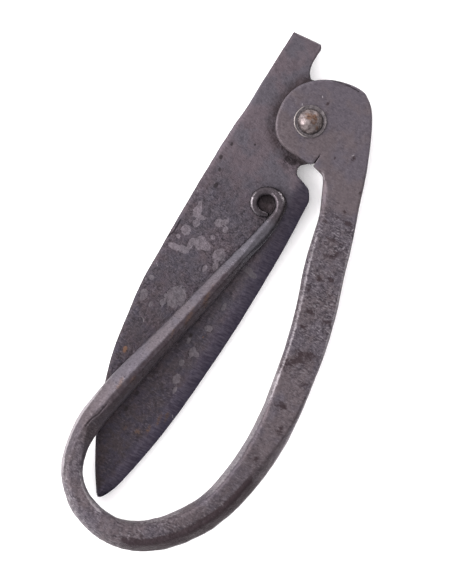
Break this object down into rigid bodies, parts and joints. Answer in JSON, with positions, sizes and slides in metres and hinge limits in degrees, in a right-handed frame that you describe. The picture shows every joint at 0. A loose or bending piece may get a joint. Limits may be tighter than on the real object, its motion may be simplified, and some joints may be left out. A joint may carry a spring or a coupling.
{
  "type": "hook knife",
  "caption": "Hand-forged friction-folding knife: a straight-edged blade turns on a rivet behind a handle bent from one bar into a bow with a curled end, and a tab on its tang opens it.",
  "frame": {"origin": "centre of the folded knife's outline, on the plane of the flat spot on the rivet's back head", "axes": "+X runs along the knife from the bow towards the pivot and the thumb tab, +Y across it towards the blade's spine, +Z out of the front, the side that the handle and the rivet's domed head are on"},
  "size_m": [0.136, 0.0502, 0.0107],
  "materials": {
    "forged_bar": "dark purplish-grey forge scale, hammered, with worn bright edges and a little brown rust",
    "blade_steel": "dark hammered steel with pale flaked spots and a ground, bluish bevel",
    "rivet_steel": "hammered bright steel with brown rust in its hollows"
  },
  "bodies": {
    "handle": {"forged_handle": "forged_bar", "pivot_rivet": "rivet_steel", "front_washer": "rivet_steel", "back_washer": "rivet_steel"},
    "blade": {"blade": "blade_steel"}
  },
  "joints": [
    {"name": "blade_pivot", "type": "hinge", "parent": "handle", "child": "blade", "pos_m": [0.049, 0.0043, 0.0034], "axis": [0, 0, -1], "range_deg": [0, 158]}
  ]
}
